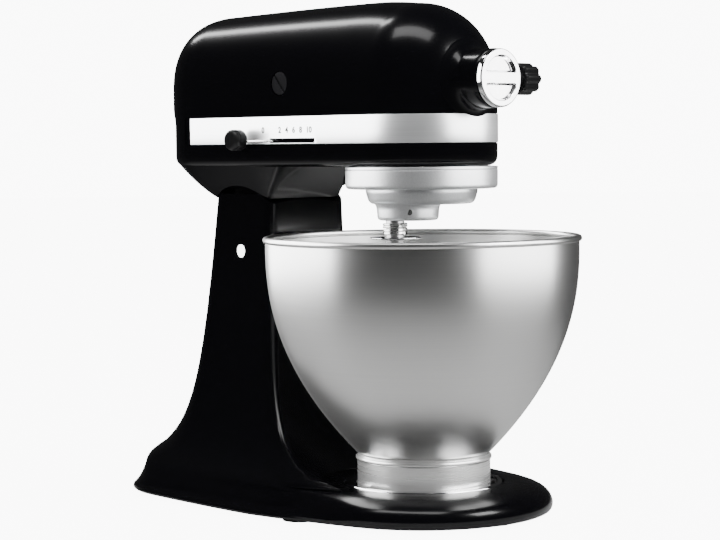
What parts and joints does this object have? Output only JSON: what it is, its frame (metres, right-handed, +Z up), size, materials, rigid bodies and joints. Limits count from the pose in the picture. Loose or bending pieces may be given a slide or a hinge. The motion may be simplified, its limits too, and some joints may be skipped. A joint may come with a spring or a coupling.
{
  "type": "stand mixer",
  "caption": "Tilt-head stand mixer: enamelled column and head, planetary drive with internal gear train, attachment hub and a twist-lock steel bowl.",
  "frame": {"origin": "middle of the whole mixer's box, at table level under the rubber feet", "axes": "+X towards the attachment hub and bowl, -Y on the speed lever's side, +Z up"},
  "size_m": [0.356, 0.222, 0.357],
  "materials": {
    "bakelite": "brown insulating board",
    "black_plastic": "satin moulded plastic",
    "bowl_steel": "spun and brushed stainless steel",
    "bronze": "machined bronze",
    "cap_plastic": "dark moulded plastic",
    "carbon": "pressed carbon",
    "cast_aluminium": "satin die-cast aluminium",
    "chrome": "bright chrome plate",
    "copper": "varnished copper winding",
    "enamel": "glossy baked enamel, near black",
    "foot_steel": "polished stainless steel",
    "gear_steel": "machined steel, lightly oiled",
    "lamination": "stacked steel laminations",
    "rubber": "moulded rubber",
    "screw_steel": "zinc-plated steel",
    "trim": "brushed bright aluminium strip"
  },
  "bodies": {
    "stand": {"base": "enamel", "column": "enamel", "column_screws": "screw_steel", "bowl_clamp_plate": "chrome", "clamp_plate_screws": "screw_steel", "rubber_feet": "rubber", "hinge_pin": "screw_steel", "hinge_set_screw": "screw_steel", "neck_adjusting_screw": "screw_steel"},
    "head": {"upper_housing": "enamel", "lower_housing": "enamel", "end_cover": "enamel", "end_cover_screw": "screw_steel", "trim_band": "trim", "trim_band_screws": "screw_steel", "hub_sleeve": "gear_steel", "ring_gear": "gear_steel", "drip_ring": "cast_aluminium", "gearcase_cover": "cast_aluminium", "gearcase_screws": "screw_steel", "motor_field": "lamination", "motor_bracket_front": "cast_aluminium", "motor_bracket_rear": "cast_aluminium", "brush_holders": "bakelite", "brushes": "carbon", "brush_springs": "screw_steel", "brush_caps": "cap_plastic", "control_plate": "bakelite", "control_screws": "screw_steel", "cord_bushing": "rubber"},
    "motor": {"armature": "copper", "commutator": "copper", "motor_shaft": "gear_steel", "cooling_fan": "black_plastic", "governor": "bronze"},
    "worm_drive": {"worm_wheel": "bronze", "wheel_shaft": "gear_steel"},
    "planetary": {"centre_gear": "gear_steel", "centre_shaft": "gear_steel", "centre_bevel_gear": "gear_steel", "planetary_housing": "cast_aluminium", "planetary_pin": "screw_steel"},
    "agitator": {"agitator_shaft": "gear_steel", "agitator_pinion": "gear_steel", "agitator_spring": "screw_steel", "spring_washer": "foot_steel", "beater_pin": "screw_steel"},
    "hub_drive": {"hub_bevel_gear": "gear_steel", "hub_drive_shaft": "gear_steel"},
    "hub_cover": {"hub_cap": "chrome"},
    "hub_screw": {"hub_knob": "black_plastic"},
    "speed_control": {"speed_lever": "screw_steel", "speed_knob": "black_plastic"},
    "lock": {"lock_lever": "black_plastic"},
    "mixing_bowl": {"bowl": "bowl_steel", "bowl_foot": "foot_steel"}
  },
  "joints": [
    {"name": "head_tilt", "type": "hinge", "parent": "stand", "child": "head", "pos_m": [-0.0833, 0, 0.18], "axis": [0, -1, 0], "range_deg": [0, 48]},
    {"name": "planetary_spin", "type": "hinge", "parent": "head", "child": "planetary", "pos_m": [0.067, 0, 0.222], "axis": [0, 0, 1], "continuous": true},
    {"name": "agitator_spin", "type": "hinge", "parent": "planetary", "child": "agitator", "pos_m": [0.067, -0.026, 0.222], "axis": [0, 0, 1], "continuous": true},
    {"name": "worm_wheel_spin", "type": "hinge", "parent": "head", "child": "worm_drive", "pos_m": [0.03027, 0.026, 0.301], "axis": [0, 0, 1], "continuous": true},
    {"name": "motor_spin", "type": "hinge", "parent": "head", "child": "motor", "pos_m": [0, 0, 0.301], "axis": [1, 0, 0], "continuous": true},
    {"name": "hub_shaft_spin", "type": "hinge", "parent": "head", "child": "hub_drive", "pos_m": [0.092, 0, 0.301], "axis": [1, 0, 0], "continuous": true},
    {"name": "hub_cap_pull", "type": "slide", "parent": "head", "child": "hub_cover", "axis": [1, 0, 0], "range_m": [0, 0.1]},
    {"name": "hub_knob_turn", "type": "hinge", "parent": "head", "child": "hub_screw", "pos_m": [0.129, 0.03, 0.301], "axis": [0, 1, 0], "continuous": true},
    {"name": "speed_lever_turn", "type": "hinge", "parent": "head", "child": "speed_control", "pos_m": [-0.0082, 0.038, 0.259], "axis": [0, 0, 1], "range_deg": [0, 27.4]},
    {"name": "lock_lever_turn", "type": "hinge", "parent": "head", "child": "lock", "pos_m": [-0.065, 0, 0.228], "axis": [0, -1, 0], "range_deg": [0, 14]},
    {"name": "bowl_twist", "type": "hinge", "parent": "stand", "child": "mixing_bowl", "pos_m": [0.067, 0, 0.02], "axis": [0, 0, 1], "range_deg": [-40, 0]}
  ],
  "couplings": [
    {"joint": "agitator_spin", "follows": "planetary_spin", "ratio": -2.625},
    {"joint": "worm_wheel_spin", "follows": "planetary_spin", "ratio": -4},
    {"joint": "hub_shaft_spin", "follows": "planetary_spin", "ratio": -1},
    {"joint": "motor_spin", "follows": "planetary_spin", "ratio": 48}
  ]
}
